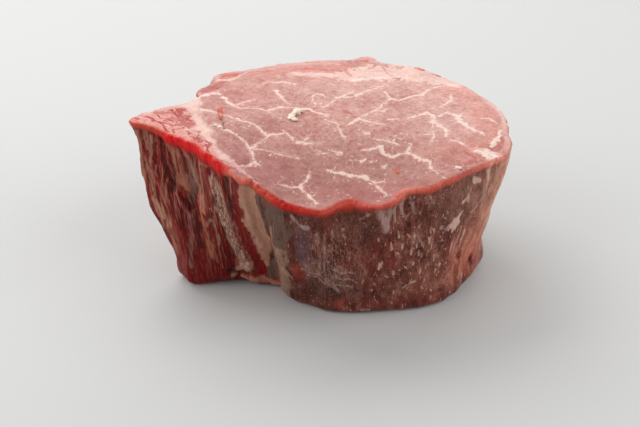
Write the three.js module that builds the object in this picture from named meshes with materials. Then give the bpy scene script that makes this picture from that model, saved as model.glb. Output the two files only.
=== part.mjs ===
// A thick raw fillet steak, cut from the wide end of a beef tenderloin: the round eye muscle
// with the strip of side muscle still on it, which comes to a corner. It is one solid.
// Millimetres, +Z up. It lies on its lower cut face, and the origin is the middle of its box on the board.
// The corner of the side muscle points to -X.
import * as THREE from "three";
import { mergeVertices } from "three/addons/utils/BufferGeometryUtils.js";

// The two cut faces: ovals, each with its own centre, because the block narrows towards the board.
const TOP_OVAL = { x: 6, y: 0, halfWidth: 41.5, halfDepth: 36.5 };
const FOOT_OVAL = { x: 6, y: 3, halfWidth: 37.6, halfDepth: 32 };

// The upper cut face: its height in the middle, its slopes, and the sag of its front edge.
const THICKNESS = 41.8;
const SLOPE_X = -0.03;
const SLOPE_Y = 0.01;
const SAG = { depth: 8.5, x: 3, halfWidth: 27, reach: 34 };

// The wall goes from the foot oval to the top oval between these shares of the height, and swells a little.
const FLARE = { from: 0.12, to: 1 };
const BELLY = 0.4;

// Where the wall stands out from the oval, or sinks into it. Each pair is at the board and at the top edge:
// degrees round from +X, millimetres outwards, degrees to each side. A form changes from its first value to
// its second between a share of the height, 0 unless it says so, and the top edge.
const WALL_FORMS = [
  { name: "corner of the side muscle", at: [199, 186.5], by: [7.8, 12.3], over: [11, 7] },
  { name: "front flank of the side muscle", at: [206, 201], by: [3.4, 1], over: [7, 9] },
  { name: "cleft between the two muscles", at: [229, 232], by: [-6.9, -2.2], over: [14, 10] },
  { name: "fold line in the sinew of the cleft", at: [232, 232], by: [-1.2, -0.7], over: [3.4, 3] },
  { name: "set-back of the lower front", at: [250, 250], by: [-1.8, 0], over: [11, 10] },
  { name: "nick in the front edge", at: [274, 271], by: [0, -6.2], over: [9, 7.5], start: 0.5 },
  { name: "small nick beside it", at: [294, 295], by: [0, -2.6], over: [7, 4.5], start: 0.65 },
  { name: "flat of the front right", at: [312, 304], by: [3.2, -2.6], over: [17, 19] },
  { name: "right shoulder", at: [342, 337], by: [1.2, 2.4], over: [14, 9] },
  { name: "back right shoulder", at: [58, 52], by: [1.5, 1.2], over: [16, 16] },
  { name: "fullness of the back", at: [100, 96], by: [1.5, 2], over: [26, 23] },
  { name: "tag of fat on the back edge", at: [80, 78.5], by: [0, 3.2], over: [4, 3], start: 0.6 },
  { name: "lump of the back left", at: [141, 142], by: [1, 4.2], over: [10, 8] },
  { name: "hollow behind the corner", at: [170, 171], by: [-2.5, -2.9], over: [9, 7] },
];

// Small forms on the wall: degrees round, share of the height, millimetres outwards, and the reach each way.
const WALL_KNOBS = [
  { name: "knob low on the right", at: 349, height: 0.09, by: 1.6, over: 4, tall: 0.05 },
  { name: "hollow above the knob", at: 347, height: 0.24, by: -1.1, over: 7, tall: 0.08 },
  { name: "hollow under the corner", at: 187, height: 0.86, by: -1.7, over: 8, tall: 0.09 },
  { name: "roll of fat on the corner", at: 190, height: 0.46, by: 1.8, over: 6, tall: 0.14 },
  { name: "hollow low on the corner", at: 192, height: 0.14, by: -0.8, over: 8, tall: 0.07 },
  { name: "bulge of the front", at: 283, height: 0.4, by: 1.2, over: 16, tall: 0.25 },
  { name: "fold beside the cleft", at: 242, height: 0.45, by: 1.1, over: 5, tall: 0.4 },
  { name: "slack of the right end", at: 350, height: 0.52, by: -1.1, over: 14, tall: 0.22 },
  { name: "swell of the back", at: 95, height: 0.5, by: 1.6, over: 26, tall: 0.3 },
];

// The lower edge is lifted off the board where the sinew of the cleft draws it up.
const LIFTED_EDGE = { at: 214, over: 5, height: 2.8, inner: 0.78 };

// Relief: the fibre bundles that run down the wall, coarse on the side muscle and fine round the eye.
const FIBRE_ROUNDS = { fewest: 19, most: 61, waves: 15 };
const FIBRE_STRENGTH = { least: 0.4, most: 1.4 };
const FIBRE_DRIFT = 1.5; // the most that a wave moves on between the board and the top, in radians
const FIBRE_RELIEF = { sideMuscle: 0.55, eye: 0.14 };
const SIDE_MUSCLE = { at: 192, over: 30 };
const FIBRE_LEAN = 11; // degrees that a bundle of the side muscle moves round between the top and the board

// The upper face is softly uneven: waves with a height, and a length along X and along Y.
const FACE_WAVES = [
  { height: 0.3, alongX: 38, alongY: 46 },
  { height: 0.15, alongX: 20, alongY: -27 },
];

// The tip of the corner turns up: degrees round and to each side, and the share of the radius it starts at.
const UPTURN = { at: 185, over: 9, height: 0.9, inner: 0.7 };

// Fat that stands proud of the upper face: the seam between the muscles, and the rim along the back.
const FAT_SEAM = { from: [-33, 7], to: [-19, -21], halfWidth: 2.2, height: 0.5 };
const FAT_RIM = { at: 72, over: 34, inner: 0.86, height: 0.6 };

// The mesh: columns round the steak, and rows from the middle of the foot up to the middle of the top.
const COLUMNS = 172;
const WALL_ROWS = 13;
const TOP_RINGS = [0.93, 0.85, 0.74, 0.6, 0.43, 0.23];
const FOOT_RINGS = [0.45, 0.82];
const TOP_EDGE = { inwards: 0.022, down: 0.026, steps: 3 };
const FOOT_EDGE = { inwards: 0.05, up: 0.06, steps: 3 };
const COLOUR = 0x9c4a44;
const ROUGHNESS = 0.42;

const { lerp, degToRad, clamp, smoothstep } = THREE.MathUtils;

// The difference of two angles in degrees, from -180 to 180.
function turn(from, to) {
  return THREE.MathUtils.euclideanModulo(to - from + 180, 360) - 180;
}

// A rounded hump of height 1. A higher power gives it a flatter crown and steeper sides.
const FLAT_CROWN = 4;
function bell(distance, reach, power = 2) {
  return Math.exp(-(Math.abs(distance / reach) ** power));
}

// Repeatable random numbers from 0 to 1.
function seeded(seed) {
  let state = seed;
  return () => {
    state = (state * 16807) % 2147483647;
    return state / 2147483647;
  };
}

// Ridges that run down the wall: waves round the steak, each with its own number, strength and phase.
const random = seeded(41);
const fibreWaves = Array.from({ length: FIBRE_ROUNDS.waves }, (_, i) => ({
  rounds: Math.round(lerp(FIBRE_ROUNDS.fewest, FIBRE_ROUNDS.most, i / (FIBRE_ROUNDS.waves - 1))),
  strength: lerp(FIBRE_STRENGTH.least, FIBRE_STRENGTH.most, random()),
  phase: lerp(0, 2 * Math.PI, random()),
  drift: lerp(-FIBRE_DRIFT, FIBRE_DRIFT, random()),
}));

function sideMuscleShare(angle) {
  return bell(turn(SIDE_MUSCLE.at, angle), SIDE_MUSCLE.over, FLAT_CROWN);
}

function fibreRelief(angle, height) {
  const share = sideMuscleShare(angle);
  const lean = FIBRE_LEAN * (1 - height) * share;
  let sum = 0;
  for (const wave of fibreWaves)
    sum += wave.strength * Math.cos(wave.rounds * degToRad(angle - lean) + wave.phase + wave.drift * height);
  return (lerp(FIBRE_RELIEF.eye, FIBRE_RELIEF.sideMuscle, share) * sum) / Math.sqrt(fibreWaves.length / 2);
}

// Distance from the block's axis to its wall, at an angle in degrees and a share of the height.
function wallRadius(angle, height) {
  const rise = smoothstep(height, FLARE.from, FLARE.to);
  const a = lerp(FOOT_OVAL.halfWidth, TOP_OVAL.halfWidth, rise);
  const b = lerp(FOOT_OVAL.halfDepth, TOP_OVAL.halfDepth, rise);
  const t = degToRad(angle);
  let radius = 1 / Math.hypot(Math.cos(t) / a, Math.sin(t) / b);
  radius += BELLY * Math.sin(Math.PI * height);
  for (const { at, by, over, start = 0 } of WALL_FORMS) {
    const change = clamp((height - start) / (1 - start), 0, 1);
    radius += lerp(...by, change) * bell(turn(lerp(...at, change), angle), lerp(...over, change));
  }
  for (const { at, height: level, by, over, tall } of WALL_KNOBS)
    radius += by * bell(turn(at, angle), over) * bell(height - level, tall);
  return radius + fibreRelief(angle, height);
}

const [seamFrom, seamTo] = [FAT_SEAM.from, FAT_SEAM.to].map((ends) => new THREE.Vector3(...ends, 0));
const seamLine = new THREE.Line3(seamFrom, seamTo);

// Height of the upper face. The share is 0 on the axis and 1 at the edge.
function topHeight(x, y, angle, share) {
  const sag = smoothstep(-y, 0, SAG.reach) * bell(x - SAG.x, SAG.halfWidth);
  let z = THICKNESS + SLOPE_X * x + SLOPE_Y * y - SAG.depth * sag;
  for (const { height, alongX, alongY } of FACE_WAVES)
    z += height * Math.sin(2 * Math.PI * (x / alongX + y / alongY));
  const place = new THREE.Vector3(x, y, 0);
  const onSeam = seamLine.closestPointToPoint(place, true, new THREE.Vector3());
  z += FAT_SEAM.height * bell(place.distanceTo(onSeam), FAT_SEAM.halfWidth);
  z += UPTURN.height * bell(turn(UPTURN.at, angle), UPTURN.over) * smoothstep(share, UPTURN.inner, 1);
  const onRim = bell(turn(FAT_RIM.at, angle), FAT_RIM.over, FLAT_CROWN) * smoothstep(share, FAT_RIM.inner, 1);
  return z + FAT_RIM.height * onRim;
}

// The foot is flat, except where its edge is drawn up.
function footHeight(angle, share) {
  const outwards = smoothstep(share, LIFTED_EDGE.inner, 1);
  return LIFTED_EDGE.height * bell(turn(LIFTED_EDGE.at, angle), LIFTED_EDGE.over) * outwards;
}

// Half of the section, from the middle of the foot to the middle of the top: shares of the radius and height.
function section() {
  const points = [new THREE.Vector2(0, 0)];
  for (const ring of FOOT_RINGS) points.push(new THREE.Vector2(ring, 0));
  for (let i = 0; i <= FOOT_EDGE.steps; i++) {
    const t = ((i / FOOT_EDGE.steps) * Math.PI) / 2;
    const x = 1 - FOOT_EDGE.inwards * (1 - Math.sin(t));
    points.push(new THREE.Vector2(x, FOOT_EDGE.up * (1 - Math.cos(t))));
  }
  for (let i = 1; i < WALL_ROWS; i++)
    points.push(new THREE.Vector2(1, lerp(FOOT_EDGE.up, 1 - TOP_EDGE.down, i / WALL_ROWS)));
  for (let i = 0; i <= TOP_EDGE.steps; i++) {
    const t = ((i / TOP_EDGE.steps) * Math.PI) / 2;
    const x = 1 - TOP_EDGE.inwards * (1 - Math.cos(t));
    points.push(new THREE.Vector2(x, 1 - TOP_EDGE.down * (1 - Math.sin(t))));
  }
  for (const ring of TOP_RINGS) points.push(new THREE.Vector2(ring, 1));
  points.push(new THREE.Vector2(0, 1));
  return points;
}

// Turns the unit section round the axis, then moves each point out to the wall and up to the face.
function steakGeometry() {
  const lathe = new THREE.LatheGeometry(section(), COLUMNS).rotateX(Math.PI / 2);
  lathe.deleteAttribute("normal").deleteAttribute("uv");
  const places = lathe.getAttribute("position");
  const point = new THREE.Vector3();
  for (let i = 0; i < places.count; i++) {
    point.fromBufferAttribute(places, i);
    const share = Math.hypot(point.x, point.y);
    const height = clamp(point.z, 0, 1);
    const angle = THREE.MathUtils.radToDeg(Math.atan2(point.y, point.x));
    const reach = share * wallRadius(angle, height);
    const x = lerp(FOOT_OVAL.x, TOP_OVAL.x, height) + reach * Math.cos(degToRad(angle));
    const y = lerp(FOOT_OVAL.y, TOP_OVAL.y, height) + reach * Math.sin(degToRad(angle));
    const z = lerp(footHeight(angle, share), topHeight(x, y, angle, share), height);
    places.setXYZ(i, x, y, z);
  }
  return mergeVertices(lathe, 1e-4);
}

function steak() {
  const geometry = steakGeometry();
  geometry.computeVertexNormals();
  geometry.computeBoundingBox();
  const meat = new THREE.MeshStandardMaterial({ color: COLOUR, roughness: ROUGHNESS, metalness: 0 });
  const mesh = new THREE.Mesh(geometry, meat);
  mesh.name = "steak";
  const middle = geometry.boundingBox.getCenter(new THREE.Vector3());
  mesh.position.set(-middle.x, -middle.y, -geometry.boundingBox.min.z);
  return mesh;
}

const part = new THREE.Group();
part.add(steak());

export default part;
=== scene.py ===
import math
import random

import bmesh
import bpy
import numpy as np
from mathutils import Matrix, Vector, noise
from mathutils.bvhtree import BVHTree
from mathutils.kdtree import KDTree


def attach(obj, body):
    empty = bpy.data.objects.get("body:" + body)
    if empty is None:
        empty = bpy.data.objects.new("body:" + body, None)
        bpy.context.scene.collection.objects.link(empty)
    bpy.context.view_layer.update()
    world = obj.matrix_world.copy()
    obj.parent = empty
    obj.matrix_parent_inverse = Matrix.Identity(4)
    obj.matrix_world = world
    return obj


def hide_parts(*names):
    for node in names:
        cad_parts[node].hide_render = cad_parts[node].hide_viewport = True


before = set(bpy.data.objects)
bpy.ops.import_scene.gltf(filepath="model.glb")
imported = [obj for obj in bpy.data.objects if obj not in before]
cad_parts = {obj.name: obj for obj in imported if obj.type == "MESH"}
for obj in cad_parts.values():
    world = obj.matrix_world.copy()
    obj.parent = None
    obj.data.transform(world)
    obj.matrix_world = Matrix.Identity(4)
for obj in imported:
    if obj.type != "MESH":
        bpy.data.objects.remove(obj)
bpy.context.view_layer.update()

MM = 0.001
scene = bpy.context.scene


# ---- The view ----
# A camera with a lens of normal length stands 21 cm in front of the steak and 13 cm above the board.
# It looks down by 30 degrees, so that it sees the upper cut face and the front half of the wall.
LENS = 50
SENSOR = 36
CAMERA_PLACE = (-0.1, -211.3, 134.0)
CAMERA_DOWN = 30.15

camera = bpy.data.objects.new("camera", bpy.data.cameras.new("camera"))
camera.data.lens = LENS
camera.data.sensor_width = SENSOR
camera.data.clip_start = 0.01
camera.location = Vector(CAMERA_PLACE) * MM
camera.rotation_euler = (math.radians(90 - CAMERA_DOWN), 0, 0)
scene.collection.objects.link(camera)
scene.camera = camera


# ---- The block of meat ----
# One slice across a beef tenderloin, about 42 mm thick. Its fibres run from the upper cut face down
# to the board, and lean inwards. It is a copy of the plain solid with a fine even skin over it.
SKIN = 0.72
SKIN_SMOOTHING = 2
THICKNESS = 41.8
TOP_AXIS = np.array([5.9, -2.3])
FOOT_AXIS = np.array([5.9, 0.7])
FOOT_SPREAD = np.array([1.1, 1.15])  # how much wider the top is than the foot, along X and along Y
LEAN = (202, 11, 13)  # where the fibres of the wall lean most, its reach, and the lean, in degrees
FACE_TILTS = (0.4, 0.7)  # how upright the normals are where a cut face begins, and where it is all there
# An underside lifted more than about a millimetre off the board takes the darker colour of the wall: painted
# shade under the lifted edge.
UNDERSIDE = (1.2, 0.4)  # the heights between which the wall turns into the underside, in mm
EDGE_TILTS = (0.35, 0.47, 0.6)  # how upright the normals are on the upper edge: least, middle and most
EDGE_ABOVE = 25  # the upper edge lies higher than this, in mm

SET_BACK = [  # degrees round, and how far the upper edge stands back there, in mm
    (196, 0), (204, 1.4), (218, 1.6), (227, 0), (236, 0), (241, 1.0), (252, 0.8), (264, 0.3), (271, 0.9),
    (277, 1.5), (294, 1.5), (301, 0),
]
SET_BACK_RISE = (12, 36)  # it grows between these heights, in mm
SET_BACK_FADE = 4  # and it fades over this many mm in from the edge


def ease(value, start, end):
    """0 before start and 1 after end, with a smooth step between. It may run downwards."""
    share = np.clip((value - start) / (end - start), 0, 1)
    return share * share * (3 - 2 * share)


def bell(distance, reach, power=2):
    return np.exp(-np.abs(distance / reach) ** power)


def turned(degrees, middle):
    """The turn from a middle to some degrees, from -180 to 180."""
    return (degrees - middle + 180) % 360 - 180


def rough(points, size, stretch=1, detail=3, seed=0):
    """Noise of about -1 to 1 at each point, in patches of a size in mm, drawn out along Z."""
    shift = Vector((seed * 17.3, seed * 5.1, seed * 9.7))
    scale = np.array([1, 1, 1 / stretch]) / size
    return np.array([noise.fractal(Vector(p) + shift, 1, 2, detail) for p in points * scale])


class Skin:
    """Every point of the meat's skin, in mm, and where it is in the steak."""

    def __init__(self, mesh):
        mesh.normal_update()
        self.spots = np.array([vert.co for vert in mesh.verts]) / MM
        self.normals = np.array([vert.normal for vert in mesh.verts])
        self.height = np.clip(self.spots[:, 2] / THICKNESS, 0, 1)
        rise = self.height[:, None]
        out = self.spots[:, :2] - (FOOT_AXIS + (TOP_AXIS - FOOT_AXIS) * rise)
        self.degrees = np.degrees(np.arctan2(out[:, 1], out[:, 0])) % 360
        self.top = ease(self.normals[:, 2], *FACE_TILTS)
        self.foot = ease(-self.normals[:, 2], *FACE_TILTS) * ease(self.spots[:, 2], *UNDERSIDE)
        # Where each point's fibre is in the upper cut face: patterns that follow the grain are laid on it.
        lean = np.radians(LEAN[2] * (1 - self.height) * bell(turned(self.degrees, LEAN[0]), LEAN[1]))
        opened = out * (FOOT_SPREAD + (1 - FOOT_SPREAD) * rise)
        self.grain = np.column_stack((
            TOP_AXIS[0] + opened[:, 0] * np.cos(lean) + opened[:, 1] * np.sin(lean),
            TOP_AXIS[1] - opened[:, 0] * np.sin(lean) + opened[:, 1] * np.cos(lean),
            self.spots[:, 2],
        ))


def to_edge(place):
    """Each point's distance from the upper edge, in mm. It is negative on the upper face."""
    up = place.normals[:, 2]
    least, middle, most = EDGE_TILTS
    ring = place.spots[(up > least) & (up < most) & (place.spots[:, 2] > EDGE_ABOVE)]
    edge = KDTree(len(ring))
    for number, spot in enumerate(ring):
        edge.insert(spot, number)
    edge.balance()
    return np.array([edge.find(spot)[2] for spot in place.spots]) * np.where(up > middle, -1, 1)


solid = bmesh.new()
solid.from_mesh(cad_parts["steak"].data)
bmesh.ops.remove_doubles(solid, verts=solid.verts, dist=0.01 * MM)
flesh_mesh = bpy.data.meshes.new("steak_flesh")
solid.to_mesh(flesh_mesh)
solid.free()
flesh = bpy.data.objects.new("steak_flesh", flesh_mesh)
scene.collection.objects.link(flesh)

fine_skin = flesh.modifiers.new("fine_skin", "REMESH")
fine_skin.mode = "VOXEL"
fine_skin.voxel_size = SKIN * MM
fine_mesh = bpy.data.meshes.new_from_object(flesh.evaluated_get(bpy.context.evaluated_depsgraph_get()))
flesh.modifiers.clear()
flesh.data = fine_mesh

skin = bmesh.new()
skin.from_mesh(fine_mesh)
for _ in range(SKIN_SMOOTHING):
    bmesh.ops.smooth_vert(
        skin, verts=skin.verts, factor=0.5, use_axis_x=True, use_axis_y=True, use_axis_z=True
    )
early = Skin(skin)
back = np.interp(early.degrees, *zip(*SET_BACK)) * ease(early.spots[:, 2], *SET_BACK_RISE)
back *= np.exp(np.minimum(to_edge(early), 0) / SET_BACK_FADE)
for vert, step, round_ in zip(skin.verts, back, np.radians(early.degrees)):
    vert.co -= Vector((math.cos(round_), math.sin(round_), 0)) * step * MM
surface = BVHTree.FromBMesh(skin)


# ---- The fat, sinew and clefts ----
# Fat lies between the muscles and runs through them in fine veins, and sinew wraps the eye. All of it
# is in the meat, so each is a stroke laid on the skin: its kind, its width at both ends, and its route.
KINDS = {  # colour as it looks in soft light, and how far it stands up in mm
    "fat": ((246, 205, 193), 0.08),
    "pink fat": ((232, 178, 168), 0.06),
    "white fat": ((250, 226, 214), 0.1),
    "rose flesh": ((222, 146, 136), 0),
    "red flesh": ((192, 104, 96), 0),
    "blood": ((224, 96, 78), 0.04),
    "brown": ((146, 78, 58), -0.1),
    "tan": ((146, 94, 74), 0.25),
    "sheet": ((168, 120, 98), 0.25),
    "suet": ((222, 176, 158), 0.25),
    "silver": ((156, 112, 100), 0.1),
    "grey": ((94, 72, 61), 0.25),
    "drab": ((132, 102, 85), 0.25),
    "pale": ((164, 124, 106), 0.12),
    "lilac": ((132, 84, 78), 0.15),
    "orange": ((156, 92, 66), 0.15),
    "pink": ((178, 116, 98), 0.2),
    "granular": ((184, 146, 126), 0.25),
    "umber": ((64, 38, 29), -0.3),
    "dark": ((58, 18, 14), -0.35),
    "red": ((110, 4, 3), 0),
    "deep red": ((86, 26, 19), 0),
    "fresh red": ((150, 52, 38), 0),
    "milky": ((158, 128, 120), 0.1),
    "bright": ((192, 156, 138), 0.15),
    "cream": ((212, 182, 160), 0.2),
    "leaf": ((200, 164, 147), 0.2),
}


def strokes_of(rows):
    """Each stroke of each row on its own: the row's words, the stroke's width at both ends, its route."""
    strokes = []
    for row in rows:
        words = [value for value in row if isinstance(value, str)]
        pairs = row[len(words):]
        strokes += [(*words, wide, route) for wide, route in zip(pairs[::2], pairs[1::2])]
    return strokes


# Each row has its name, its kind unless it is a vein, and then the width and the route of each stroke. On
# the cut face a route is in mm from the middle, to the right and away from the front. On the wall it is in
# degrees round from the right, and in mm above the board.
ON_FACE = strokes_of([
    ("red of the left back", "red flesh", (2.4, 2.0), [(-31, 11), (-29, 14), (-26.5, 19)]),
    ("brown beside it", "brown", (0.6, 0.5), [(-28.5, 12.5), (-27, 14.5)]),
    ("rim of the back", "pink fat",
     (1.0, 1.3), [(-22, 23.5), (-20, 25.5), (-16.5, 26), (-13.5, 27), (-10, 30)],
     (1.3, 1.8), [(-10, 30), (-6, 32.5), (0, 33.5), (5, 34)]),
    ("band under the rim", "fat", (2.6, 5.0), [(-7, 25), (-2, 25), (2.5, 25), (8, 25)]),
    ("rose band of the back", "rose flesh",
     (1.4, 2.2), [(-20, 23.5), (-15, 23), (-10, 26.5), (-5, 29)],
     (2.2, 2.6), [(-5, 29), (1, 30.5), (8, 31)]),
    ("red line of the back", "blood",
     (0.3, 1.0), [(-8, 27.5), (-4, 29.5), (0, 30)],
     (1.0, 0.3), [(0, 30), (3.5, 28.5), (6, 28)]),
    ("inner band, left", "pink fat", (1.0, 1.6), [(-17.5, 14.5), (-16, 16.5), (-13.5, 18)]),
    ("inner band", "fat", (1.4, 1.0), [(-13.5, 18), (-9.5, 18), (-7, 16.5)]),
    ("blob of the back", "pink fat", (2.2, 1.8), [(-8.5, 24.5), (-8, 22.5)]),
    ("small blob of the back", "pink fat", (1.6, 1.2), [(-12, 22.5), (-11.5, 21)]),
    ("second band", "pink fat", (0.7, 1.0), [(-3, 20), (0, 19.5), (3, 17.5)]),
    ("fat cap", "fat",
     (8.0, 10.0), [(8, 25.5), (13, 27.5), (19, 27.5), (26, 26)],
     (9.0, 3.0), [(26, 26), (32, 23.5), (38.5, 19.5)]),
    ("pale heart of the cap", "white fat",
     (2.5, 3.0), [(9, 22.5), (15, 24), (22, 24.5), (29, 23.4)],
     (3.0, 1.6), [(29, 23.4), (34, 21), (38, 18)]),
    ("pink line in the cap", "rose flesh", (0.6, 0.5), [(18, 31), (19, 27), (20.5, 24)]),
    ("pink streak in the cap", "rose flesh", (1.6, 0.8), [(6, 30.5), (8, 26), (9, 24.5)]),
    ("red under the peak", "blood",
     (0.9, 1.2), [(12, 34.5), (14.5, 35.8), (17.5, 35.6)],
     (1.1, 0.5), [(17.5, 35.6), (21, 34), (25, 32.5)]),
    ("red spots at the edge", "blood",
     (1.0, 1.4), [(27.5, 30), (29, 28.5)],
     (0.8, 0.8), [(31.5, 27.5), (33.5, 26)],
     (0.7, 0.7), [(36, 24), (37.5, 22.5)]),
    ("red nub", "blood", (1.2, 2.2), [(-27.5, 22.5), (-25.5, 23.5), (-24, 23.5)]),
    ("line under the nub", "fat", (1.2, 1.0), [(-28, 19.5), (-25.5, 19.5), (-23.5, 21), (-22, 23.5)]),
    ("back edge of the side muscle", "pink fat", (1.4, 3.4),
     [(-46, -7.5), (-43.5, -5.5), (-41, -3.5), (-38, -1)]),
    ("back edge of the side muscle, end", "fat", (3.2, 5.0), [(-38, -1), (-35.5, 0.5), (-33, 2)]),
    ("seam", "fat",
     (5.6, 2.6), [(-35, 2), (-33, 0), (-31.2, -5.5)],
     (2.4, 2.8), [(-31.2, -5.5), (-29.8, -10), (-28.1, -14)],
     (2.6, 0.9), [(-28.1, -14), (-26.2, -17), (-24.8, -20.4)]),
    ("branch of the seam", "fat", (2.0, 0.5), [(-29.5, -12), (-31.5, -12.5), (-33.5, -12.5)]),
    ("seam along the edge", "fat", (1.0, 2.2), [(-24.8, -20.4), (-23.6, -22.4), (-21.6, -24.6)]),
    ("seam along the edge, end", "pink fat", (1.8, 0.5), [(-21.6, -24.6), (-18.7, -27.4), (-15, -30.8)]),
    ("red of the side muscle", "red flesh", (1.2, 1.4), [(-41.5, -5), (-38.5, -5)]),
    ("zigzag of the side muscle", "red flesh", (1.0, 1.4), [(-36, -5.5), (-33, -6), (-35, -8), (-37, -7.5)]),
    ("brown of the side muscle", "red flesh", (3.0, 2.4), [(-34, -9.5), (-31.5, -10)]),
    ("spoon", "pink fat", (0.4, 0.5),
     [(-33, -15), (-30, -15), (-28, -16.5), (-28, -18.5), (-30, -18.5), (-33, -16.5)]),
    ("red spot at the seam", "red flesh", (1.2, 0.8), [(-26.5, -18.5), (-27, -20)]),
    ("red tip", "blood", (2.0, 1.2), [(-47.5, -8), (-45.5, -8.5)]),
    ("rim of the right back", "pink fat", (0.6, 1.0), [(37.5, 21.3), (42, 16.3), (44.5, 11.3)]),
    ("rim of the right back, end", "fat", (1.0, 0.9), [(44.5, 11.3), (46.6, 5), (47, -1), (46.6, -6)]),
    ("right bar", "white fat",
     (0.7, 1.6), [(45, -9), (44.3, -12), (43, -14.5)],
     (1.6, 0.8), [(43, -14.5), (41.5, -17)]),
    ("brown lines at the right", "brown",
     (0.4, 0.3), [(41.2, -17.2), (42.2, -18.6)],
     (0.3, 0.2), [(42.4, -17.4), (43.4, -16.2), (44, -14.6)]),
    ("red beside the right bar", "red flesh", (1.3, 0.8), [(45, -12.5), (44.6, -15.5), (43.6, -18)]),
    ("red tuft beside the right bar", "blood", (0.5, 0.4), [(44.9, -14), (44.2, -16.6)]),
    ("red spot", "blood", (0.7, 0.9), [(18.2, -24), (18.5, -24.8)]),
    ("right blob", "pink fat", (2.6, 4.0), [(37.5, -18.5), (39.5, -19.5), (41.5, -21)]),
    ("hearts of the right blob", "white fat",
     (1.4, 1.9), [(38, -19), (39.5, -20), (40.4, -22.6)],
     (1.9, 1.2), [(40.2, -19.4), (41.2, -20.8), (42, -22)]),
    ("red beside the right blob", "red flesh", (0.7, 1.0), [(34.5, -19.5), (36.5, -22), (37.5, -24.5)]),
    ("nub at the right", "red flesh", (0.9, 1.4), [(34.2, -25.4), (36, -23.6)]),
    ("red line at the right back", "blood", (0.35, 0.45), [(27.5, 8.5), (29.5, 8.5), (32, 9)]),
    ("red line in the right back", "red flesh", (0.7, 0.7), [(21, 10.5), (24, 12), (25.5, 13)]),
    ("red dip", "red flesh", (1.3, 0.6), [(6.5, -0.5), (7.5, -2), (8.5, -3.5)]),
    ("red line", "red flesh", (0.5, 0.4), [(9, -15.4), (11.5, -15.4)]),
    ("scratch", "red flesh", (0.22, 0.12), [(-12.5, -10.4), (-9, -10.2), (-6, -9.8)]),
])

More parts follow.
